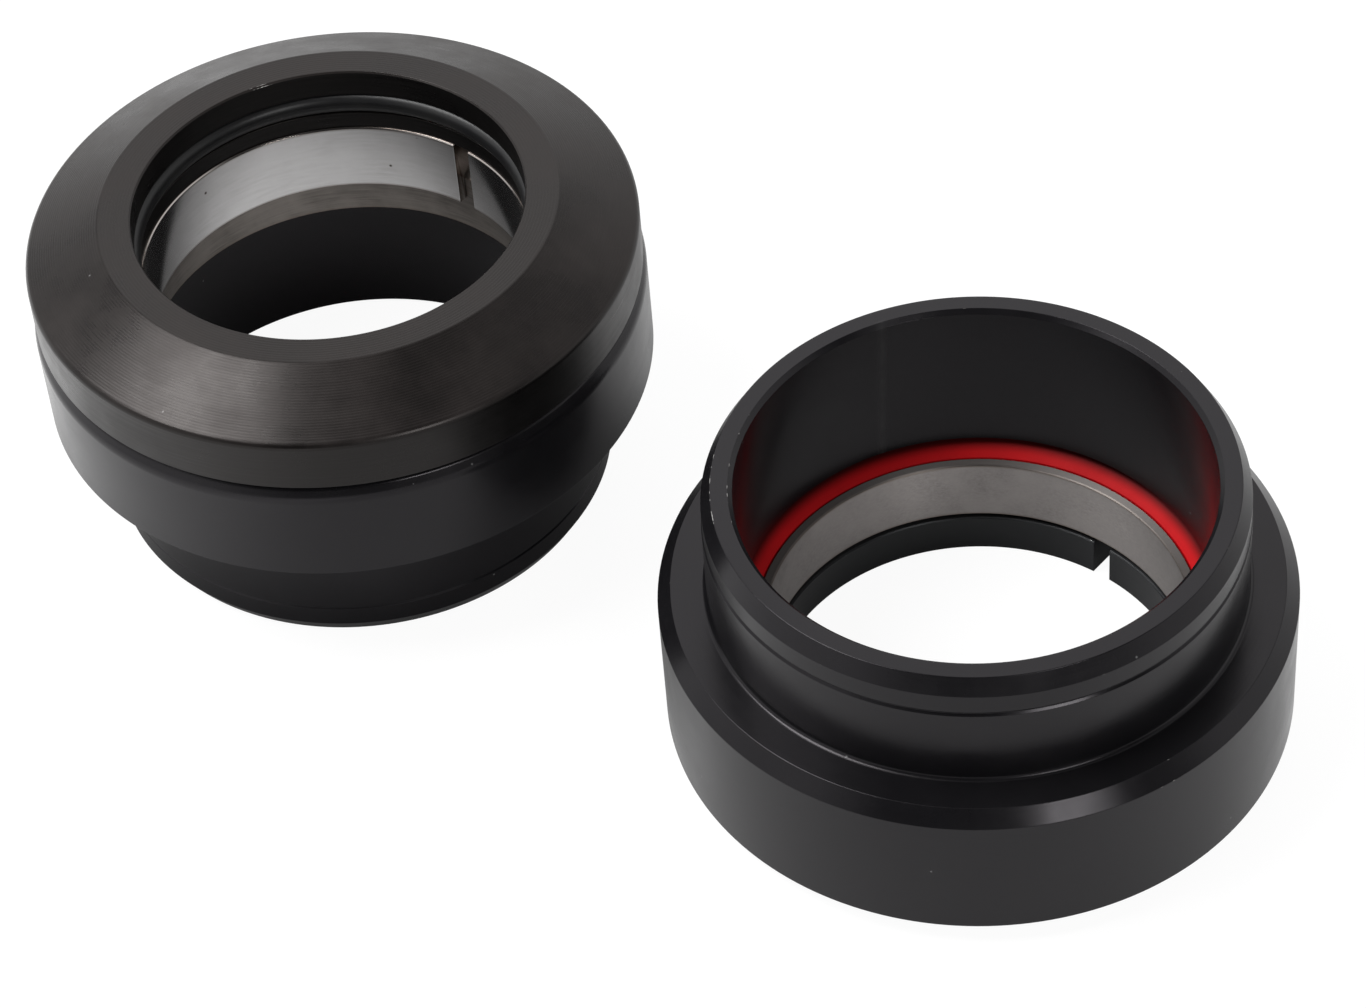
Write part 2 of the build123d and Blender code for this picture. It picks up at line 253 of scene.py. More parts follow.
def rounded(outline):
    """Points with normals and edge wear, along a closed outline of (radius, height, rounding) corners."""
    corners = []
    count = len(outline)
    for i in range(count):
        before, here, after = (Vector(outline[(i + step) % count][:2]) for step in (-1, 0, 1))
        arriving, leaving = here - before, after - here
        bend = arriving.angle_signed(leaving)
        tangent = outline[i][2] * abs(tan(bend / 2))
        room_left = corner_share * min(arriving.length, leaving.length)
        corners.append((here, arriving, leaving, -bend, min(tangent, room_left)))
    path = []
    for i, (here, arriving, leaving, bend, tangent) in enumerate(corners):
        came, goes = arriving.normalized(), leaving.normalized()
        facing = Vector((came.y, -came.x))
        outward = bend > 0
        straight_before = arriving.length - tangent - corners[i - 1][4]
        straight_after = leaving.length - tangent - corners[(i + 1) % count][4]
        if tangent <= 0:
            path.append((here, (facing + Vector((goes.y, -goes.x))).normalized(), 0.0))
            continue
        if straight_before > support_room * support_width:
            path.append((here - came * (tangent + support_width), facing, 0.0))
        radius = tangent / abs(tan(bend / 2))
        centre = here - came * tangent - facing * (radius if outward else -radius)
        steps = fine_steps if radius < fine_radius else round_steps
        chipped = outward and steps == fine_steps
        for step in range(steps + 1):
            turn = bend * step / steps
            normal = Vector((
                facing.x * cos(turn) - facing.y * sin(turn),
                facing.x * sin(turn) + facing.y * cos(turn),
            ))
            worn = (break_wear if step in (0, steps) else 1.0) if chipped else 0.0
            path.append((centre + normal * (radius if outward else -radius), normal, worn))
        if straight_after > support_room * support_width:
            path.append((here + goes * (tangent + support_width), Vector((goes.y, -goes.x)), 0.0))
    return path


def turned_ring(name, axis, outline, slit=0.0, slit_angle=0.0, scuff=None):
    """Ring turned from corners in millimetres, with a parallel gap where slit is given.

    scuff gives the angle, the spread, the lowest height and the strength of extra wear on its edges.
    """
    path = rounded(outline)
    count = len(path)
    run = [0.0]
    for (here, _, _), (after, _, _) in zip(path, path[1:] + path[:1]):
        run.append(run[-1] + (after - here).length)
    run = [length / run[-1] for length in run]
    verts, normals, worn, faces, maps = [], [], [], [], []

    def scuffed(angle, height):
        """Extra wear of an edge, fading away from the middle of the scuffed side."""
        if scuff is None:
            return 0.0
        middle, spread, lowest, strength = scuff
        away = abs((angle - middle + pi) % (2 * pi) - pi)
        return strength * max(0.0, 1.0 - away / spread) if height >= lowest else 0.0

    def column(share, gap, sink=0.0, flat_normal=None):
        """One outline of the ring; share is how far round it stands, gap the half width left at the slit."""
        first = len(verts)
        for point, normal, edge in path:
            radius, height = point - normal * sink
            margin = asin(gap / radius) if gap else 0.0
            angle = slit_angle + margin + (2 * pi - 2 * margin) * share
            verts.append((radius * cos(angle) * mm, radius * sin(angle) * mm, height * mm))
            normals.append(flat_normal or (normal.x * cos(angle), normal.x * sin(angle), normal.y))
            worn.append(edge * (1.0 + scuffed(angle, height)))
        return first

    def band(left, right, u_left, u_right):
        """Faces between two neighbouring columns, unrolled from u_left to u_right."""
        for j in range(count):
            k = (j + 1) % count
            faces.append((left + j, right + j, right + k, left + k))
            maps.extend(((u_left, run[j]), (u_right, run[j]), (u_right, run[j + 1]), (u_left, run[j + 1])))

    def slit_end(first, u_start, flipped):
        """Flat face of one column, at a side of the slit."""
        order = list(range(first, first + count))
        low = min(point.x for point, _, _ in path)
        high = max(point.x for point, _, _ in path)
        places = [
            (u_start + map_face * (point.x - low) / (high - low), run[j])
            for j, (point, _, _) in enumerate(path)
        ]
        faces.append(tuple(reversed(order)) if flipped else tuple(order))
        maps.extend(reversed(places) if flipped else places)

    if slit:
        map_width = map_end - map_start
        shares = [i / ring_rounds for i in range(ring_rounds + 1)]
        columns = [column(share, slit / 2 + slit_break) for share in shares]
        for share, left, right in zip(shares, columns, columns[1:]):
            u_left = map_start + map_width * share
            band(left, right, u_left, u_left + map_width / ring_rounds)
        across = (sin(slit_angle), -cos(slit_angle), 0.0)
        start = column(0.0, slit / 2, slit_break, across)
        end = column(1.0, slit / 2, slit_break, tuple(-part for part in across))
        band(start, columns[0], map_start - map_seam, map_start)
        band(columns[-1], end, map_end, map_end + map_seam)
        slit_end(start, map_margin, False)
        slit_end(end, map_end + map_seam + map_margin, True)
    else:
        columns = [column(i / ring_rounds, 0.0) for i in range(ring_rounds)]
        for i in range(ring_rounds):
            band(columns[i], columns[(i + 1) % ring_rounds], i / ring_rounds, (i + 1) / ring_rounds)

    mesh = bpy.data.meshes.new(name)
    mesh.from_pydata(verts, [], faces)
    mesh.shade_smooth()
    unrolled = mesh.uv_layers.new(name="OFBake")
    unrolled.data.foreach_set("uv", [number for pair in maps for number in pair])
    edge = mesh.attributes.new("edge", "FLOAT", "POINT")
    edge.data.foreach_set("value", worn)
    mesh.normals_split_custom_set_from_vertices(normals)
    made = show(name, mesh)
    made.location = (axis * mm, 0.0, 0.0)
    return made


def hung(outline, top):
    """The same outline turned over, with its foot at height top."""
    return [(radius, top - height, rounding) for radius, height, rounding in reversed(outline)]


def reach(node):
    """Axis, outer radius, foot and top of a node, in millimetres."""
    low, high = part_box(node)
    return (low.x + high.x) / 2 / mm, (high.y - low.y) / 2 / mm, low.z / mm, high.z / mm


def cup_outline(
        flange, height, wall, length, recess, mouth_edge, shoulder_edge,
        mouth_rounds=(soft_break, soft_break)):
    """Corners of a cup from its mouth at height 0 up to the rim of its skirt."""
    skirt, pilot, groove_depth = 19.0, 18.94, 0.16
    pocket, pocket_edge, seat = 20.53, 0.35, 1.2
    relief, seal_room, bearing_room = 17.64, 1.15, 7.03
    lead_width, lead_length, bore_edge = 0.7, 1.2, 0.32
    pilot_length, groove_width = 2.7, 0.36
    rim = height + length
    bore = skirt - wall
    groove_top = rim - pilot_length
    bearing_top = recess + bearing_room
    lip = bearing_top + seal_room
    return [
        (pocket + pocket_edge, 0, sharp_break),
        (flange - mouth_edge[0], 0, mouth_rounds[0]),
        (flange, mouth_edge[1], mouth_rounds[1]),
        (flange, height - shoulder_edge[1], soft_break),
        (flange - shoulder_edge[0], height, soft_break),
        (skirt, height, root_fillet),
        (skirt, groove_top - groove_width, sharp_break),
        (skirt - groove_depth, groove_top - groove_width / 2, sharp_break),
        (pilot, groove_top, sharp_break),
        (pilot, rim - lead_length, sharp_break),
        (pilot - lead_width, rim, soft_break),
        (bore + bore_edge, rim, sharp_break),
        (bore, rim - bore_edge, sharp_break),
        (bore, lip, sharp_break),
        (relief, lip, sharp_break),
        (relief, bearing_top, sharp_break),
        (pocket - seat, bearing_top, sharp_break),
        (pocket, bearing_top - seat, sharp_break),
        (pocket, pocket_edge, sharp_break),
    ]


def group(name, takes, gives):
    """New shader group; returns its tree, its incoming values and its outgoing sockets."""
    tree = bpy.data.node_groups.new(name, "ShaderNodeTree")
    for label, kind, value in takes:
        tree.interface.new_socket(label, in_out="INPUT", socket_type=kind).default_value = value
    for label in gives:
        tree.interface.new_socket(label, in_out="OUTPUT", socket_type="NodeSocketFloat")
    incoming = tree.nodes.new("NodeGroupInput").outputs
    outgoing = tree.nodes.new("NodeGroupOutput").inputs
    return tree, incoming, outgoing


# Fine rings left by the lathe tool, and slow patches where the dye took unevenly
line_lean = -0.5
line_waver = 2.5
turning_marks, given, result = group("turning_marks", (
    ("Axis", "NodeSocketVector", (0.0, 0.0, 0.0)),
    ("Across", "NodeSocketFloat", 5000.0),
    ("Around", "NodeSocketFloat", 5.0),
    ("Patch", "NodeSocketFloat", 180.0),
    ("Feed", "NodeSocketFloat", 27000.0),
    ("Lines", "NodeSocketFloat", 0.0),
), ("Height", "Tone"))
tree = turning_marks
spot = place(tree, "ShaderNodeTexCoord").outputs["Object"]
spot = place(tree, "ShaderNodeVectorMath", {0: spot, 1: given["Axis"]}, operation="SUBTRACT").outputs[0]
parts = place(tree, "ShaderNodeSeparateXYZ", {0: spot}).outputs
spoke = place(tree, "ShaderNodeCombineXYZ", {0: parts[0], 1: parts[1]}).outputs[0]
radius = place(tree, "ShaderNodeVectorMath", {0: spoke}, operation="LENGTH").outputs["Value"]
spoke = place(tree, "ShaderNodeVectorMath", {0: spoke}, operation="NORMALIZE").outputs[0]
spoke = place(tree, "ShaderNodeVectorMath", {
    0: spoke, "Scale": given["Around"]}, operation="SCALE").outputs[0]
turns = place(tree, "ShaderNodeSeparateXYZ", {0: spoke}).outputs
outward = place(tree, "ShaderNodeMath", {0: radius, 1: given["Across"]}, operation="MULTIPLY").outputs[0]
upward = place(tree, "ShaderNodeMath", {0: parts[2], 1: given["Across"]}, operation="MULTIPLY").outputs[0]
rolled = place(tree, "ShaderNodeCombineXYZ", {0: outward, 1: upward, 2: turns[0]}).outputs[0]
marks = place(tree, "ShaderNodeTexNoise", {
    "Vector": rolled, "W": turns[1], "Scale": 1.0, "Detail": 2.0, "Roughness": 0.65}, noise_dimensions="4D")
travel = place(tree, "ShaderNodeMath", {
    0: parts[2], 1: line_lean, 2: radius}, operation="MULTIPLY_ADD").outputs[0]
travel = place(tree, "ShaderNodeMath", {0: travel, 1: given["Feed"]}, operation="MULTIPLY").outputs[0]
travel = place(tree, "ShaderNodeMath", {
    0: marks.outputs[0], 1: line_waver, 2: travel}, operation="MULTIPLY_ADD").outputs[0]
lines = place(tree, "ShaderNodeMath", {0: travel}, operation="SINE").outputs[0]
lines = place(tree, "ShaderNodeMapRange", {"Value": lines, "From Min": -1.0, "From Max": 1.0}).outputs[0]
height = place(tree, "ShaderNodeMix", {0: given["Lines"], 2: marks.outputs[0], 3: lines}).outputs[0]
patches = place(tree, "ShaderNodeTexNoise", {
    "Vector": spot, "Scale": given["Patch"], "Detail": 4.0, "Roughness": 0.62})
tree.links.new(height, result["Height"])
tree.links.new(patches.outputs[0], result["Tone"])

# Tiny nicks along turned edges, where the black layer is chipped to bare metal
cluster_scale = 330.0
cluster_share = 0.8
chip_blur = 0.06
scuff_gain = 0.3
edge_nicks, given, result = group("edge_nicks", (
    ("Grain", "NodeSocketFloat", 1900.0),
    ("Rarity", "NodeSocketFloat", 1.2),
), ("Bare",))
tree = edge_nicks
spot = place(tree, "ShaderNodeTexCoord").outputs["Object"]
edge = place(tree, "ShaderNodeAttribute", attribute_name="edge").outputs["Fac"]
grain = place(tree, "ShaderNodeTexNoise", {
    "Vector": spot, "Scale": given["Grain"], "Detail": 1.0, "Roughness": 0.6}).outputs[0]
cluster = place(tree, "ShaderNodeTexNoise", {
    "Vector": spot, "Scale": cluster_scale, "Detail": 2.0}).outputs[0]
grain = place(tree, "ShaderNodeMath", {
    0: cluster, 1: cluster_share, 2: grain}, operation="MULTIPLY_ADD").outputs[0]
full = place(tree, "ShaderNodeMath", {0: given["Rarity"], 1: chip_blur}, operation="ADD").outputs[0]
harder = place(tree, "ShaderNodeMath", {
    0: edge, 1: scuff_gain, 2: -scuff_gain}, operation="MULTIPLY_ADD").outputs[0]
grain = place(tree, "ShaderNodeMath", {0: grain, 1: harder}, operation="ADD").outputs[0]
chips = place(tree, "ShaderNodeMapRange", {
    "Value": grain, "From Min": given["Rarity"], "From Max": full,
}, interpolation_type="SMOOTHSTEP").outputs[0]
tree.links.new(chips, result["Bare"])

# Sparse specks, of dust on black and of pits in steel
core_share = 0.5
dust_specks, given, result = group("dust_specks", (
    ("Spacing", "NodeSocketFloat", 420.0),
    ("Share", "NodeSocketFloat", 0.3),
    ("Size", "NodeSocketFloat", 0.042),
), ("Dust",))
tree = dust_specks
spot = place(tree, "ShaderNodeTexCoord").outputs["Object"]
cells = place(tree, "ShaderNodeTexVoronoi", {"Vector": spot, "Scale": given["Spacing"]})
core = place(tree, "ShaderNodeMath", {0: given["Size"], 1: core_share}, operation="MULTIPLY").outputs[0]
speck = place(tree, "ShaderNodeMapRange", {
    "Value": cells.outputs["Distance"], "From Min": given["Size"], "From Max": core}).outputs[0]
chance = place(tree, "ShaderNodeSeparateColor", {0: cells.outputs["Color"]}).outputs[0]
kept = place(tree, "ShaderNodeMath", {0: chance, 1: given["Share"]}, operation="LESS_THAN").outputs[0]
speck = place(tree, "ShaderNodeMath", {0: speck, 1: kept}, operation="MULTIPLY").outputs[0]
tree.links.new(speck, result["Dust"])


def metal_finish(name):
    """New material with its tree and its shader, whose highlight is drawn out across the turning."""
    quarter_turn = 0.25
    made = bpy.data.materials.new(name)
    made.use_nodes = True
    tree = made.node_tree
    shader = tree.nodes["Principled BSDF"]
    tangent = place(tree, "ShaderNodeTangent", direction_type="RADIAL", axis="Z")
    tree.links.new(tangent.outputs[0], shader.inputs["Tangent"])
    shader.inputs["Anisotropic Rotation"].default_value = quarter_turn
    return made, tree, shader


def black_anodised(
        name, dye, faded, across, depth, smooth, dull, chip_rarity, shine, tint,
        lines=0.0, painted_light_rise=(-1.0, -0.9)):
    """Satin black layer on metal, chipped at its edges, with lighter patches of uneven dye that stay only
    where it faces up by more than a given rise, a painted light on its tops.
    """
    bare_metal = (0.48, 0.47, 0.455, 1.0)
    dust_grey = (0.13, 0.13, 0.13, 1.0)
    around = 2.0
    tone_span = (0.34, 0.68)
    grain_span = (0.4, 1.4)
    least_fading = 0.35
    drawn = 0.2
    made, tree, shader = metal_finish(name)
    facing = place(tree, "ShaderNodeTexCoord").outputs["Normal"]
    facing = place(tree, "ShaderNodeSeparateXYZ", {0: facing}).outputs[2]
    upward = place(tree, "ShaderNodeMapRange", {
        "Value": facing, "From Min": painted_light_rise[0], "From Max": painted_light_rise[1]}).outputs[0]
    turning = {"Across": across, "Around": around}
    if lines:
        turning["Lines"] = place(tree, "ShaderNodeMath", {
            0: upward, 1: lines}, operation="MULTIPLY").outputs[0]
    marks = place(tree, "ShaderNodeGroup", turning, node_tree=turning_marks).outputs
    bare = place(tree, "ShaderNodeGroup", {"Rarity": chip_rarity}, node_tree=edge_nicks).outputs[0]
    dust = place(tree, "ShaderNodeGroup", node_tree=dust_specks).outputs[0]
    tone = place(tree, "ShaderNodeMapRange", {
        "Value": marks["Tone"], "From Min": tone_span[0], "From Max": tone_span[1]}).outputs[0]
    # Painted light: the lighter patches are kept only on faces that look up
    fade_and_painted_light = place(tree, "ShaderNodeMapRange", {
        "Value": tone, "To Min": least_fading, "To Max": 1.0}).outputs[0]
    fade_and_painted_light = place(tree, "ShaderNodeMath", {0: fade_and_painted_light, 1: upward}, operation="MULTIPLY").outputs[0]
    colour = place(tree, "ShaderNodeMix", {0: fade_and_painted_light, 6: dye, 7: faded}, data_type="RGBA").outputs[2]
    colour = place(tree, "ShaderNodeMix", {0: dust, 6: colour, 7: dust_grey}, data_type="RGBA").outputs[2]
    colour = place(tree, "ShaderNodeMix", {0: bare, 6: colour, 7: bare_metal}, data_type="RGBA").outputs[2]
    grain = place(tree, "ShaderNodeMath", {0: tone, 1: marks["Height"]}, operation="ADD").outputs[0]
    polish = place(tree, "ShaderNodeMapRange", {
        "Value": grain, "From Min": grain_span[0], "From Max": grain_span[1],
        "To Min": smooth, "To Max": dull}).outputs[0]
    bump = place(tree, "ShaderNodeBump", {"Strength": 1.0, "Distance": depth, "Height": marks["Height"]})
    tree.links.new(colour, shader.inputs["Base Color"])
    tree.links.new(polish, shader.inputs["Roughness"])
    tree.links.new(bare, shader.inputs["Metallic"])
    tree.links.new(bump.outputs[0], shader.inputs["Normal"])
    shader.inputs["Specular IOR Level"].default_value = shine
    shader.inputs["Specular Tint"].default_value = tint
    shader.inputs["Anisotropic"].default_value = drawn
    return made


upper_axis, upper_flange, _, upper_mouth = reach("upper_cup")
upper_flange_height = 8.5
upper_skirt_wall = 2.0
upper_skirt_length = 10.5
upper_recess = 0.2
upper_cup_outline = cup_outline(
    upper_flange, upper_flange_height, upper_skirt_wall, upper_skirt_length, upper_recess,
    mouth_edge=(0.5, 0.9), shoulder_edge=(0.25, 0.25), mouth_rounds=(0.45, 1.3))
upper_cup = turned_ring("upper_cup_turned", upper_axis, hung(upper_cup_outline, upper_mouth))
cup_black = dict(
    dye=(0.0046, 0.0044, 0.0052, 1.0), faded=(0.0068, 0.0065, 0.0073, 1.0),
    across=6000.0, depth=0.000003, smooth=0.19, dull=0.27, chip_rarity=1.22, shine=0.22,
    tint=(1.0, 0.95, 1.0, 1.0))
upper_cup.data.materials.append(black_anodised("upper_cup_black", **cup_black))
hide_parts("upper_cup")
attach(upper_cup, "cups")

# Upper bearing
# Cartridge of hardened steel rings, 20 steel balls in a moulded plastic retainer and two red rubber seals.
# Both rings are ground satin; the outer one sits in the cup and the inner one turns with the cap.
bearing_axis, _, _, bearing_top = reach("upper_bearing_outer_ring")
bearing_height = 7.0
bearing_bore = 15.08
bearing_pitch = 17.79
track_radius = 1.6675
track_steps = 12
seat_shoulder = 0.3
lip_shoulder = 1.25
inner_seat = 1.92
bore_break = 0.1
lip_land = 0.56
seal_gap = 0.15
seal_depth = 0.9


def inner_ring_outline():
    """Corners of an inner ring from its 45 degree seat at height 0 up to its lip."""
    high, low = bearing_pitch - seat_shoulder, bearing_pitch - lip_shoulder
    middle = bearing_height / 2
    lip = bearing_bore + bore_break + lip_land
    under_seal = bearing_height - seal_depth - seal_gap
    start = asin((bearing_pitch - high) / track_radius) - pi / 2
    end = pi / 2 - asin((bearing_pitch - low) / track_radius)
    track = []
    for step in range(track_steps + 1):
        turn = start + (end - start) * step / track_steps
        track.append((bearing_pitch - track_radius * cos(turn), middle + track_radius * sin(turn), 0))
    return [
        (bearing_bore + inner_seat, 0, sharp_break),
        (high, 0, sharp_break),
        *track,
        (low, under_seal, sharp_break),
        (lip, under_seal, sharp_break),
        (lip, bearing_height, sharp_break),
        (bearing_bore + bore_break, bearing_height, sharp_break),
        (bearing_bore, bearing_height - bore_break, sharp_break),
        (bearing_bore, inner_seat, sharp_break),
    ]


def inboard_seal_outline():
    """Corners of the seal on the skirt side, which rises from the lip of the inner ring to the cup."""
    outer_reach = 0.27
    bulge, bulge_width = 0.8, 1.65
    swell = ((0.73, 0.66), (0.5, 0.5), (0.23, 0.26))
    bead_low, bead_high, bead_depth = 0.18, 0.58, 0.3
    inside = bearing_bore + bore_break + lip_land + seal_gap
    outside = bearing_pitch + outer_reach
    foot = bearing_height - seal_depth
    return [
        (inside, foot, sharp_break),
        (outside, foot, sharp_break),
        (outside, foot + bead_low, sharp_break),
        (outside + bead_depth, foot + bead_low, sharp_break),
        (outside + bead_depth, foot + bead_high, sharp_break),
        (outside, foot + bead_high, sharp_break),
        (outside, bearing_height, sharp_break),
        (inside + bulge_width, bearing_height, sharp_break),
        (inside + bulge_width, bearing_height + bulge, soft_break),
        *((inside + share * bulge_width, bearing_height + rise, 0) for share, rise in swell),
        (inside, bearing_height, sharp_break),
    ]


def ground_steel(
        name, light, dark, smooth, dull, across, depth, around=6.0, axis=(0.0, 0.0, 0.0),
        pits=0.0, drawn=0.5, land_shade=None):
    """Bare steel with fine ground rings, a faint uneven tone, edges painted brown as a painted reflection,
    and a share of dark pits.

    Where a land shade is given, faces that look up are painted that darker colour as a painted shade, and
    have a dull finish.
    """
    pit_brown = (0.09, 0.07, 0.055, 1.0)
    edge_painted_reflection = (0.2, 0.16, 0.135, 1.0)
    patch = 320.0
    tone_span = (0.3, 0.7)
    ground_span = (0.34, 0.66)
    pit_spacing, pit_size = 850.0, 0.13
    land_rise, land_dull = (0.5, 0.9), 0.8
    made, tree, shader = metal_finish(name)
    marks = place(tree, "ShaderNodeGroup", {
        "Axis": axis, "Across": across, "Around": around, "Patch": patch}, node_tree=turning_marks).outputs
    tone = place(tree, "ShaderNodeMapRange", {
        "Value": marks["Tone"], "From Min": tone_span[0], "From Max": tone_span[1]}).outputs[0]
    ground = place(tree, "ShaderNodeMapRange", {
        "Value": marks["Height"], "From Min": ground_span[0], "From Max": ground_span[1]}).outputs[0]
    streak = place(tree, "ShaderNodeMath", {0: tone, 1: ground}, operation="MULTIPLY").outputs[0]
    colour = place(tree, "ShaderNodeMix", {0: streak, 6: light, 7: dark}, data_type="RGBA").outputs[2]
    if pits:
        pit = place(tree, "ShaderNodeGroup", {
            "Spacing": pit_spacing, "Share": pits, "Size": pit_size}, node_tree=dust_specks).outputs[0]
        colour = place(tree, "ShaderNodeMix", {0: pit, 6: colour, 7: pit_brown}, data_type="RGBA").outputs[2]
    # Painted reflection: the worn edges are tinted brown
    edge = place(tree, "ShaderNodeAttribute", attribute_name="edge").outputs["Fac"]
    colour = place(tree, "ShaderNodeMix", {0: edge, 6: colour, 7: edge_painted_reflection}, data_type="RGBA").outputs[2]
    polish = place(tree, "ShaderNodeMapRange", {"Value": tone, "To Min": smooth, "To Max": dull}).outputs[0]
    # Painted shade: faces that look up get the darker land colour
    if land_shade:
        facing = place(tree, "ShaderNodeTexCoord").outputs["Normal"]
        facing = place(tree, "ShaderNodeSeparateXYZ", {0: facing}).outputs[2]
        upward = place(tree, "ShaderNodeMapRange", {
            "Value": facing, "From Min": land_rise[0], "From Max": land_rise[1]}).outputs[0]
        colour = place(tree, "ShaderNodeMix", {0: upward, 6: colour, 7: land_shade}, data_type="RGBA").outputs[2]
        polish = place(tree, "ShaderNodeMix", {0: upward, 2: polish, 3: land_dull}).outputs[0]
    bump = place(tree, "ShaderNodeBump", {"Strength": 1.0, "Distance": depth, "Height": marks["Height"]})
    tree.links.new(colour, shader.inputs["Base Color"])
    tree.links.new(polish, shader.inputs["Roughness"])
    tree.links.new(bump.outputs[0], shader.inputs["Normal"])
    shader.inputs["Metallic"].default_value = 1.0
    shader.inputs["Anisotropic"].default_value = drawn
    return made


def rubber(name, colour, worn, smooth, dull, shine=0.5, painted_shade=None):
    """Moulded rubber or plastic with a fine skin and a slightly dusty tone.

    Its last argument paints a shade that darkens it towards its outer edge: the colour, the radius in metres
    where it starts and the one where it is full.
    """
    patch_scale, skin_scale = 260.0, 5200.0
    tone_span = (0.3, 0.72)
    skin_depth = 0.000006
    made = bpy.data.materials.new(name)
    made.use_nodes = True
    tree = made.node_tree
    shader = tree.nodes["Principled BSDF"]
    spot = place(tree, "ShaderNodeTexCoord").outputs["Object"]
    patches = place(tree, "ShaderNodeTexNoise", {
        "Vector": spot, "Scale": patch_scale, "Detail": 4.0, "Roughness": 0.6}).outputs[0]
    skin = place(tree, "ShaderNodeTexNoise", {"Vector": spot, "Scale": skin_scale, "Detail": 2.0}).outputs[0]
    tone = place(tree, "ShaderNodeMapRange", {
        "Value": patches, "From Min": tone_span[0], "From Max": tone_span[1]}).outputs[0]
    mixed = place(tree, "ShaderNodeMix", {0: tone, 6: colour, 7: worn}, data_type="RGBA").outputs[2]
    # Painted shade, darker towards the outer radius
    if painted_shade:
        shade_colour, shade_start, shade_full = painted_shade
        parts = place(tree, "ShaderNodeSeparateXYZ", {0: spot}).outputs
        spoke = place(tree, "ShaderNodeCombineXYZ", {0: parts[0], 1: parts[1]}).outputs[0]
        radius = place(tree, "ShaderNodeVectorMath", {0: spoke}, operation="LENGTH").outputs["Value"]
        shaded = place(tree, "ShaderNodeMapRange", {
            "Value": radius, "From Min": shade_start, "From Max": shade_full,
        }, interpolation_type="SMOOTHSTEP").outputs[0]
        mixed = place(tree, "ShaderNodeMix", {0: shaded, 6: mixed, 7: shade_colour}, data_type="RGBA").outputs[2]
    polish = place(tree, "ShaderNodeMapRange", {"Value": tone, "To Min": smooth, "To Max": dull}).outputs[0]
    bump = place(tree, "ShaderNodeBump", {"Strength": 1.0, "Distance": skin_depth, "Height": skin})
    tree.links.new(mixed, shader.inputs["Base Color"])
    tree.links.new(polish, shader.inputs["Roughness"])
    tree.links.new(bump.outputs[0], shader.inputs["Normal"])
    shader.inputs["Specular IOR Level"].default_value = shine
    return made


def wear(node, finish):
    """Gives a CAD node its finish."""
    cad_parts[node].data.materials.clear()
    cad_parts[node].data.materials.append(finish)


upper_inner_ring = turned_ring(
    "upper_inner_ring_ground", bearing_axis, hung(inner_ring_outline(), bearing_top))
upper_ring_steel = ground_steel(
    "upper_ring_steel", light=(0.26, 0.237, 0.218, 1.0), dark=(0.15, 0.137, 0.125, 1.0),
    smooth=0.3, dull=0.42, across=7000.0, depth=0.000006)
upper_inner_ring.data.materials.append(upper_ring_steel)
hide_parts("upper_bearing_inner_ring")
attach(upper_inner_ring, "upper_turning_set")

seal_red = dict(
    colour=(0.54, 0.006, 0.009, 1.0), worn=(0.46, 0.007, 0.01, 1.0), smooth=0.5, dull=0.6, shine=0.08)
# Painted shade on the inboard seals, darker towards the cup wall that overhangs them
seal_painted_shade = ((0.045, 0.0018, 0.002, 1.0), 0.01615, 0.0171)
red_rubber = rubber("red_seal_rubber", **seal_red)
inboard_red_rubber = rubber("inboard_red_seal_rubber", painted_shade=seal_painted_shade, **seal_red)
upper_red_seal = turned_ring("upper_red_seal", bearing_axis, hung(inboard_seal_outline(), bearing_top))
upper_red_seal.data.materials.append(inboard_red_rubber)
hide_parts("upper_bearing_inboard_seal")
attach(upper_red_seal, "cups")

outer_steel = dict(
    light=(0.34, 0.32, 0.31, 1.0), dark=(0.25, 0.24, 0.23, 1.0),
    smooth=0.28, dull=0.4, across=7000.0, depth=0.000006)
upper_outer_steel = ground_steel(
    "upper_outer_ring_steel", axis=(bearing_axis * mm, 0.0, 0.0), **outer_steel)
wear("upper_bearing_outer_ring", upper_outer_steel)
wear("upper_bearing_outboard_seal", red_rubber)

ball_bright = (0.62, 0.62, 0.62, 1.0)
ball_filmed = (0.5, 0.49, 0.47, 1.0)
ball_film = 700.0
ball_smooth = 0.06
ball_dull = 0.16
ball_steel = bpy.data.materials.new("ball_steel")
ball_steel.use_nodes = True
tree = ball_steel.node_tree
shader = tree.nodes["Principled BSDF"]
spot = place(tree, "ShaderNodeTexCoord").outputs["Object"]
film = place(tree, "ShaderNodeTexNoise", {"Vector": spot, "Scale": ball_film, "Detail": 3.0}).outputs[0]
tint = place(tree, "ShaderNodeMix", {0: film, 6: ball_bright, 7: ball_filmed}, data_type="RGBA").outputs[2]
polish = place(tree, "ShaderNodeMapRange", {
    "Value": film, "To Min": ball_smooth, "To Max": ball_dull}).outputs[0]
tree.links.new(tint, shader.inputs["Base Color"])
tree.links.new(polish, shader.inputs["Roughness"])
shader.inputs["Metallic"].default_value = 1.0
wear("upper_bearing_balls", ball_steel)

retainer_plastic = rubber(
    "retainer_plastic", colour=(0.05, 0.05, 0.05, 1.0), worn=(0.07, 0.07, 0.068, 1.0), smooth=0.4, dull=0.55)
wear("upper_ball_retainer", retainer_plastic)

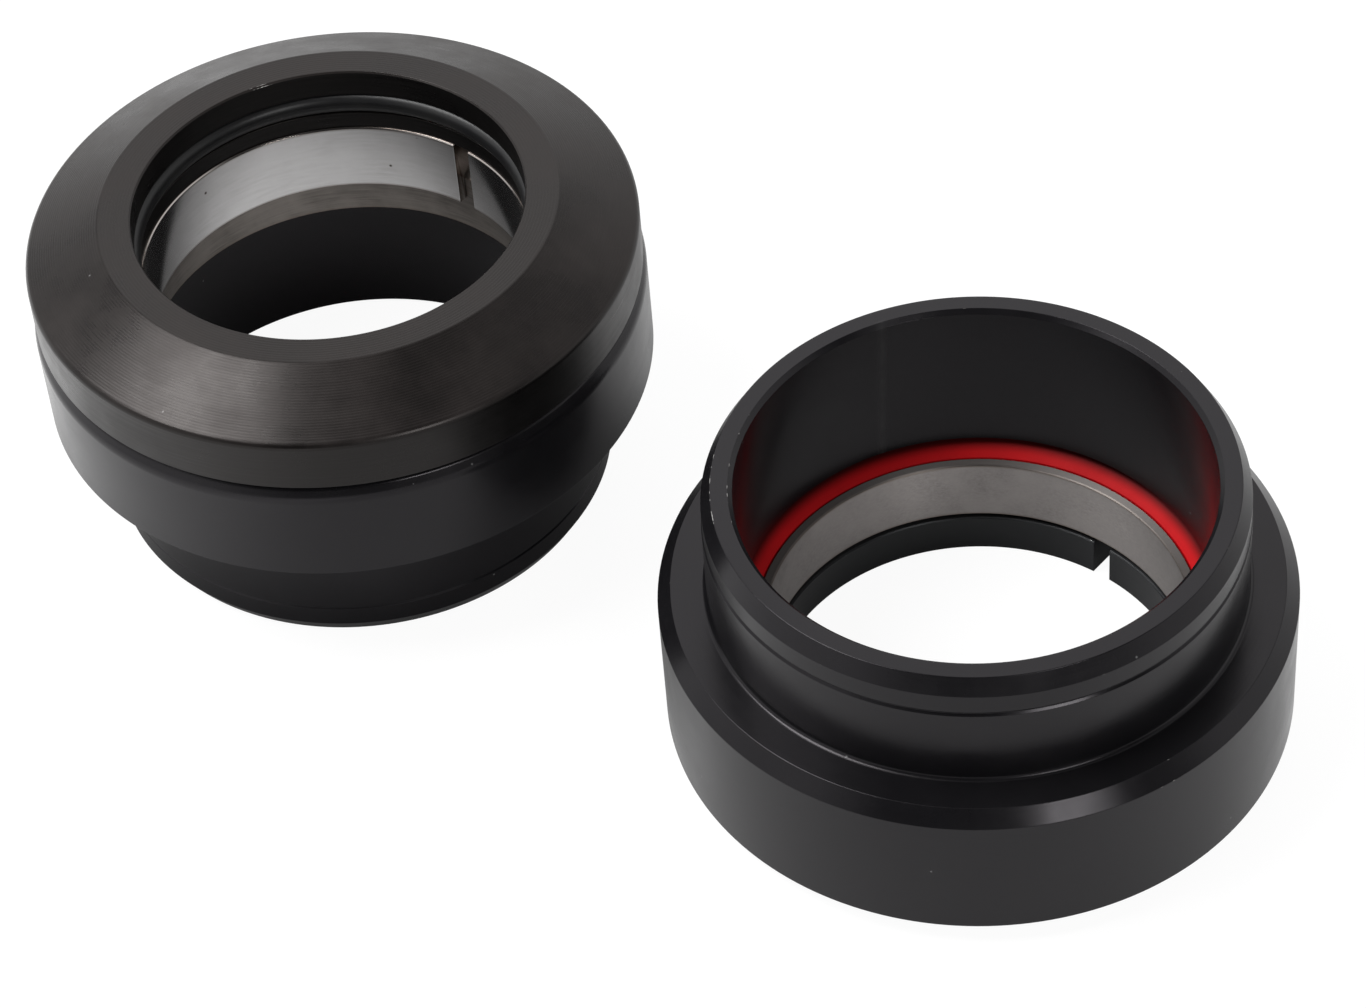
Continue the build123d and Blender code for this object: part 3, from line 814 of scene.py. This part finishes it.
# Compression ring
# Polished steel wedge ring with one slit, which springs shut on the steerer and fills the inner ring's seat.
# Its sleeve hangs in the bearing bore, and its flat top carries the cap.
ring_axis, ring_radius, ring_foot, ring_top = reach("compression_ring")
ring_bore = 14.3
ring_sleeve = 15.05
ring_seat_gap = 0.03
ring_cone_foot = bearing_top - inner_seat + ring_seat_gap
ring_edge = 0.1
ring_slit = 1.4
ring_slit_angle = radians(83.3)
compression_ring = turned_ring("compression_ring_polished", ring_axis, [
    (ring_bore, ring_foot + ring_edge, sharp_break),
    (ring_bore + ring_edge, ring_foot, sharp_break),
    (ring_sleeve, ring_foot, sharp_break),
    (ring_sleeve, ring_cone_foot, sharp_break),
    (ring_radius, ring_cone_foot + ring_radius - ring_sleeve, sharp_break),
    (ring_radius, ring_top - ring_edge, sharp_break),
    (ring_radius - ring_edge, ring_top, sharp_break),
    (ring_bore + ring_edge, ring_top, sharp_break),
    (ring_bore, ring_top - ring_edge, sharp_break),
], ring_slit, ring_slit_angle)
polished_steel = ground_steel(
    "polished_ring_steel", light=(0.71, 0.7, 0.7, 1.0), dark=(0.63, 0.62, 0.615, 1.0),
    smooth=0.15, dull=0.18, across=4000.0, depth=0.000001, pits=0.1)
compression_ring.data.materials.append(polished_steel)
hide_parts("compression_ring")
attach(compression_ring, "upper_turning_set")

# Top cap
# Turned aluminium cap with a flat ring, a wide cone and a straight band, anodised black with a brown cast.
# It stands on the compression ring; its hub holds the O-ring round the steerer, its band the dust seal.
cap_axis, cap_radius, cap_foot, cap_top = reach("top_cap")
cap_bore = 14.45
cap_bore_edge = 0.12
cap_flat = 16.9
cap_band = 4.0
cap_band_wall = 1.7
cap_shoulder = cap_foot + cap_band
cap_edge_radius = 0.6
cap_flat_round = 0.3
# Angle, spread, lowest height and strength of the worn place on the edge of the bore
cap_scuff = (radians(144.0), radians(7.0), cap_top - 0.3, 2.2)
cap_band_bore = cap_radius - cap_band_wall
cap_band_roof = 22.135
cap_hub = 17.4
cap_hub_roof = 23.854
o_ring_height = 23.0
o_ring_tube = 0.85
o_ring_middle = 14.95
groove_half = 0.9
groove_floor = 16.1
dust_foot, dust_top, dust_depth = cap_foot + 0.75, cap_foot + 1.25, 0.3
top_cap = turned_ring("top_cap_turned", cap_axis, [
    (cap_band_bore, cap_foot, sharp_break),
    (cap_radius, cap_foot, sharp_break),
    (cap_radius, cap_shoulder, cap_edge_radius),
    (cap_flat, cap_top, cap_flat_round),
    (cap_bore + cap_bore_edge, cap_top, sharp_break),
    (cap_bore, cap_top - cap_bore_edge, sharp_break),
    (cap_bore, o_ring_height + groove_half, sharp_break),
    (groove_floor, o_ring_height + groove_half, sharp_break),
    (groove_floor, o_ring_height - groove_half, sharp_break),
    (cap_bore, o_ring_height - groove_half, sharp_break),
    (cap_bore, ring_top, sharp_break),
    (cap_hub, ring_top, sharp_break),
    (cap_hub, cap_hub_roof, sharp_break),
    (cap_band_bore, cap_band_roof, sharp_break),
    (cap_band_bore, dust_top, sharp_break),
    (cap_band_bore + dust_depth, dust_top, sharp_break),
    (cap_band_bore + dust_depth, dust_foot, sharp_break),
    (cap_band_bore, dust_foot, sharp_break),
], scuff=cap_scuff)
# Painted light: the cap's faces that look up are lighter, while its band keeps the dark dye
cap_black = black_anodised(
    "cap_black_anodised", dye=(0.0028, 0.0025, 0.0025, 1.0), faded=(0.0118, 0.0097, 0.0092, 1.0),
    across=4400.0, depth=0.0000115, smooth=0.25, dull=0.39, chip_rarity=1.26, shine=0.243,
    tint=(1.0, 0.93, 0.905, 1.0), lines=0.4, painted_light_rise=(0.2, 0.7))
top_cap.data.materials.append(cap_black)
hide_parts("top_cap")
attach(top_cap, "upper_turning_set")

black_rubber = rubber(
    "black_ring_rubber", colour=(0.008, 0.008, 0.009, 1.0), worn=(0.013, 0.013, 0.013, 1.0),
    smooth=0.34, dull=0.44, shine=0.36)
o_ring = turned_ring("steerer_o_ring_moulded", cap_axis, [
    (o_ring_middle - o_ring_tube, o_ring_height - o_ring_tube, o_ring_tube),
    (o_ring_middle + o_ring_tube, o_ring_height - o_ring_tube, o_ring_tube),
    (o_ring_middle + o_ring_tube, o_ring_height + o_ring_tube, o_ring_tube),
    (o_ring_middle - o_ring_tube, o_ring_height + o_ring_tube, o_ring_tube),
])
o_ring.data.materials.append(black_rubber)
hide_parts("steerer_o_ring")
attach(o_ring, "upper_turning_set")
wear("cap_dust_seal", black_rubber)

# Lower cup
# The matching cup for the bottom of the head tube, with a taller flange and a chamfered shoulder.
# It stands with its skirt up, turned and anodised as the upper cup, and its rim is chipped by handling.
lower_axis, lower_flange, lower_mouth, lower_rim = reach("lower_cup")
lower_flange_height = 11.6
lower_skirt_wall = 2.3
lower_skirt_length = 9.4
lower_recess = 0.0
# Angle, spread, lowest height and strength of the chipped side of the rim
lower_scuff = (radians(212.0), radians(30.0), lower_rim - 1.5, 1.0)


def raised(outline, foot):
    """The same outline with its foot at height foot."""
    return [(radius, foot + height, rounding) for radius, height, rounding in outline]


lower_cup_outline = cup_outline(
    lower_flange, lower_flange_height, lower_skirt_wall, lower_skirt_length, lower_recess,
    mouth_edge=(0.25, 0.25), shoulder_edge=(0.95, 1.1))
lower_cup = turned_ring(
    "lower_cup_turned", lower_axis, raised(lower_cup_outline, lower_mouth), scuff=lower_scuff)

# A hairline scratch down the wall inside the skirt, which leans by an angle for each metre of height
scratch_turn = radians(144.1)
scratch_lean = radians(-105.0)
scratch_grey = (0.024, 0.024, 0.024, 1.0)
scratch_grain = 900.0
wall_scratch, given, result = group("wall_scratch", (
    ("Turn", "NodeSocketFloat", 0.0),
    ("Lean", "NodeSocketFloat", 0.0),
    ("Width", "NodeSocketFloat", 0.0005),
    ("Inside", "NodeSocketFloat", 0.0172),
), ("Scratch",))
tree = wall_scratch
spot = place(tree, "ShaderNodeTexCoord").outputs["Object"]
parts = place(tree, "ShaderNodeSeparateXYZ", {0: spot}).outputs
spoke = place(tree, "ShaderNodeCombineXYZ", {0: parts[0], 1: parts[1]}).outputs[0]
radius = place(tree, "ShaderNodeVectorMath", {0: spoke}, operation="LENGTH").outputs["Value"]
angle = place(tree, "ShaderNodeMath", {0: parts[1], 1: parts[0]}, operation="ARCTAN2").outputs[0]
line = place(tree, "ShaderNodeMath", {
    0: parts[2], 1: given["Lean"], 2: given["Turn"]}, operation="MULTIPLY_ADD").outputs[0]
away = place(tree, "ShaderNodeMath", {0: angle, 1: line}, operation="SUBTRACT").outputs[0]
away = place(tree, "ShaderNodeMath", {0: away}, operation="ABSOLUTE").outputs[0]
away = place(tree, "ShaderNodeMath", {0: away, 1: radius}, operation="MULTIPLY").outputs[0]
near = place(tree, "ShaderNodeMapRange", {
    "Value": away, "From Max": given["Width"], "To Min": 1.0, "To Max": 0.0}).outputs[0]
broken = place(tree, "ShaderNodeTexNoise", {
    "Vector": spot, "Scale": scratch_grain, "Detail": 2.0}).outputs[0]
inner = place(tree, "ShaderNodeMath", {0: radius, 1: given["Inside"]}, operation="LESS_THAN").outputs[0]
near = place(tree, "ShaderNodeMath", {0: near, 1: broken}, operation="MULTIPLY").outputs[0]
near = place(tree, "ShaderNodeMath", {0: near, 1: inner}, operation="MULTIPLY").outputs[0]
tree.links.new(near, result["Scratch"])

lower_cup_black = black_anodised("lower_cup_black", **cup_black)
tree = lower_cup_black.node_tree
shader = tree.nodes["Principled BSDF"]
scratch = place(tree, "ShaderNodeGroup", {
    "Turn": scratch_turn, "Lean": scratch_lean}, node_tree=wall_scratch).outputs[0]
unmarked = shader.inputs["Base Color"].links[0].from_socket
marked = place(tree, "ShaderNodeMix", {0: scratch, 6: unmarked, 7: scratch_grey}, data_type="RGBA").outputs[2]
tree.links.new(marked, shader.inputs["Base Color"])
lower_cup.data.materials.append(lower_cup_black)
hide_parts("lower_cup")
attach(lower_cup, "cups")

# Lower bearing
# The same cartridge as above, with its seat side down on the crown race.
# Its red seal and the satin bore of its inner ring show inside the skirt.
lower_inner_ring = turned_ring(
    "lower_inner_ring_ground", lower_axis, raised(inner_ring_outline(), lower_mouth))
# The lower ring's faces that look up are painted darker, a painted shade
lower_ring_steel = ground_steel(
    "lower_ring_steel", light=(0.39, 0.362, 0.351, 1.0), dark=(0.29, 0.271, 0.263, 1.0),
    smooth=0.29, dull=0.37, across=7000.0, depth=0.000008, around=60.0, drawn=0.9,
    land_shade=(0.2, 0.186, 0.178, 1.0))
lower_inner_ring.data.materials.append(lower_ring_steel)
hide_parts("lower_bearing_inner_ring")
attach(lower_inner_ring, "lower_turning_set")

lower_red_seal = turned_ring("lower_red_seal", lower_axis, raised(inboard_seal_outline(), lower_mouth))
lower_red_seal.data.materials.append(inboard_red_rubber)
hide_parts("lower_bearing_inboard_seal")
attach(lower_red_seal, "cups")

lower_outer_steel = ground_steel(
    "lower_outer_ring_steel", axis=(lower_axis * mm, 0.0, 0.0), **outer_steel)
wear("lower_bearing_outer_ring", lower_outer_steel)
wear("lower_bearing_outboard_seal", red_rubber)
wear("lower_bearing_balls", ball_steel)
wear("lower_ball_retainer", retainer_plastic)

# Crown race
# Black steel race with one slit, pressed on the fork crown; its cone fills the seat of the lower inner ring.
# A rubber ring snapped round its plate wipes the gap under the cup.
race_axis, race_plate, race_foot, race_nose = reach("crown_race")
race_bore = 15.0
race_plate_height = 1.3
race_plate_top = race_foot + race_plate_height
race_cone_foot = 17.27
race_cone_nose = 15.47
race_nose_edge = 0.1
race_groove_foot, race_groove_top, race_groove_depth = race_foot + 0.45, race_foot + 0.85, 0.25
race_slit = 1.4
race_slit_angle = radians(81.4)
crown_race = turned_ring("crown_race_black", race_axis, [
    (race_bore, race_foot, sharp_break),
    (race_plate, race_foot, sharp_break),
    (race_plate, race_groove_foot, sharp_break),
    (race_plate - race_groove_depth, race_groove_foot, sharp_break),
    (race_plate - race_groove_depth, race_groove_top, sharp_break),
    (race_plate, race_groove_top, sharp_break),
    (race_plate, race_plate_top, sharp_break),
    (race_cone_foot, race_plate_top, sharp_break),
    (race_cone_nose, race_nose, sharp_break),
    (race_bore + race_nose_edge, race_nose, sharp_break),
    (race_bore, race_nose - race_nose_edge, sharp_break),
], race_slit, race_slit_angle)
race_black = black_anodised(
    "race_black", dye=(0.0115, 0.012, 0.0132, 1.0), faded=(0.0178, 0.0184, 0.0197, 1.0),
    across=5000.0, depth=0.000004, smooth=0.32, dull=0.42, chip_rarity=1.22, shine=0.4,
    tint=(0.96, 0.98, 1.0, 1.0))
crown_race.data.materials.append(race_black)
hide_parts("crown_race")
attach(crown_race, "lower_turning_set")
wear("crown_race_seal", black_rubber)
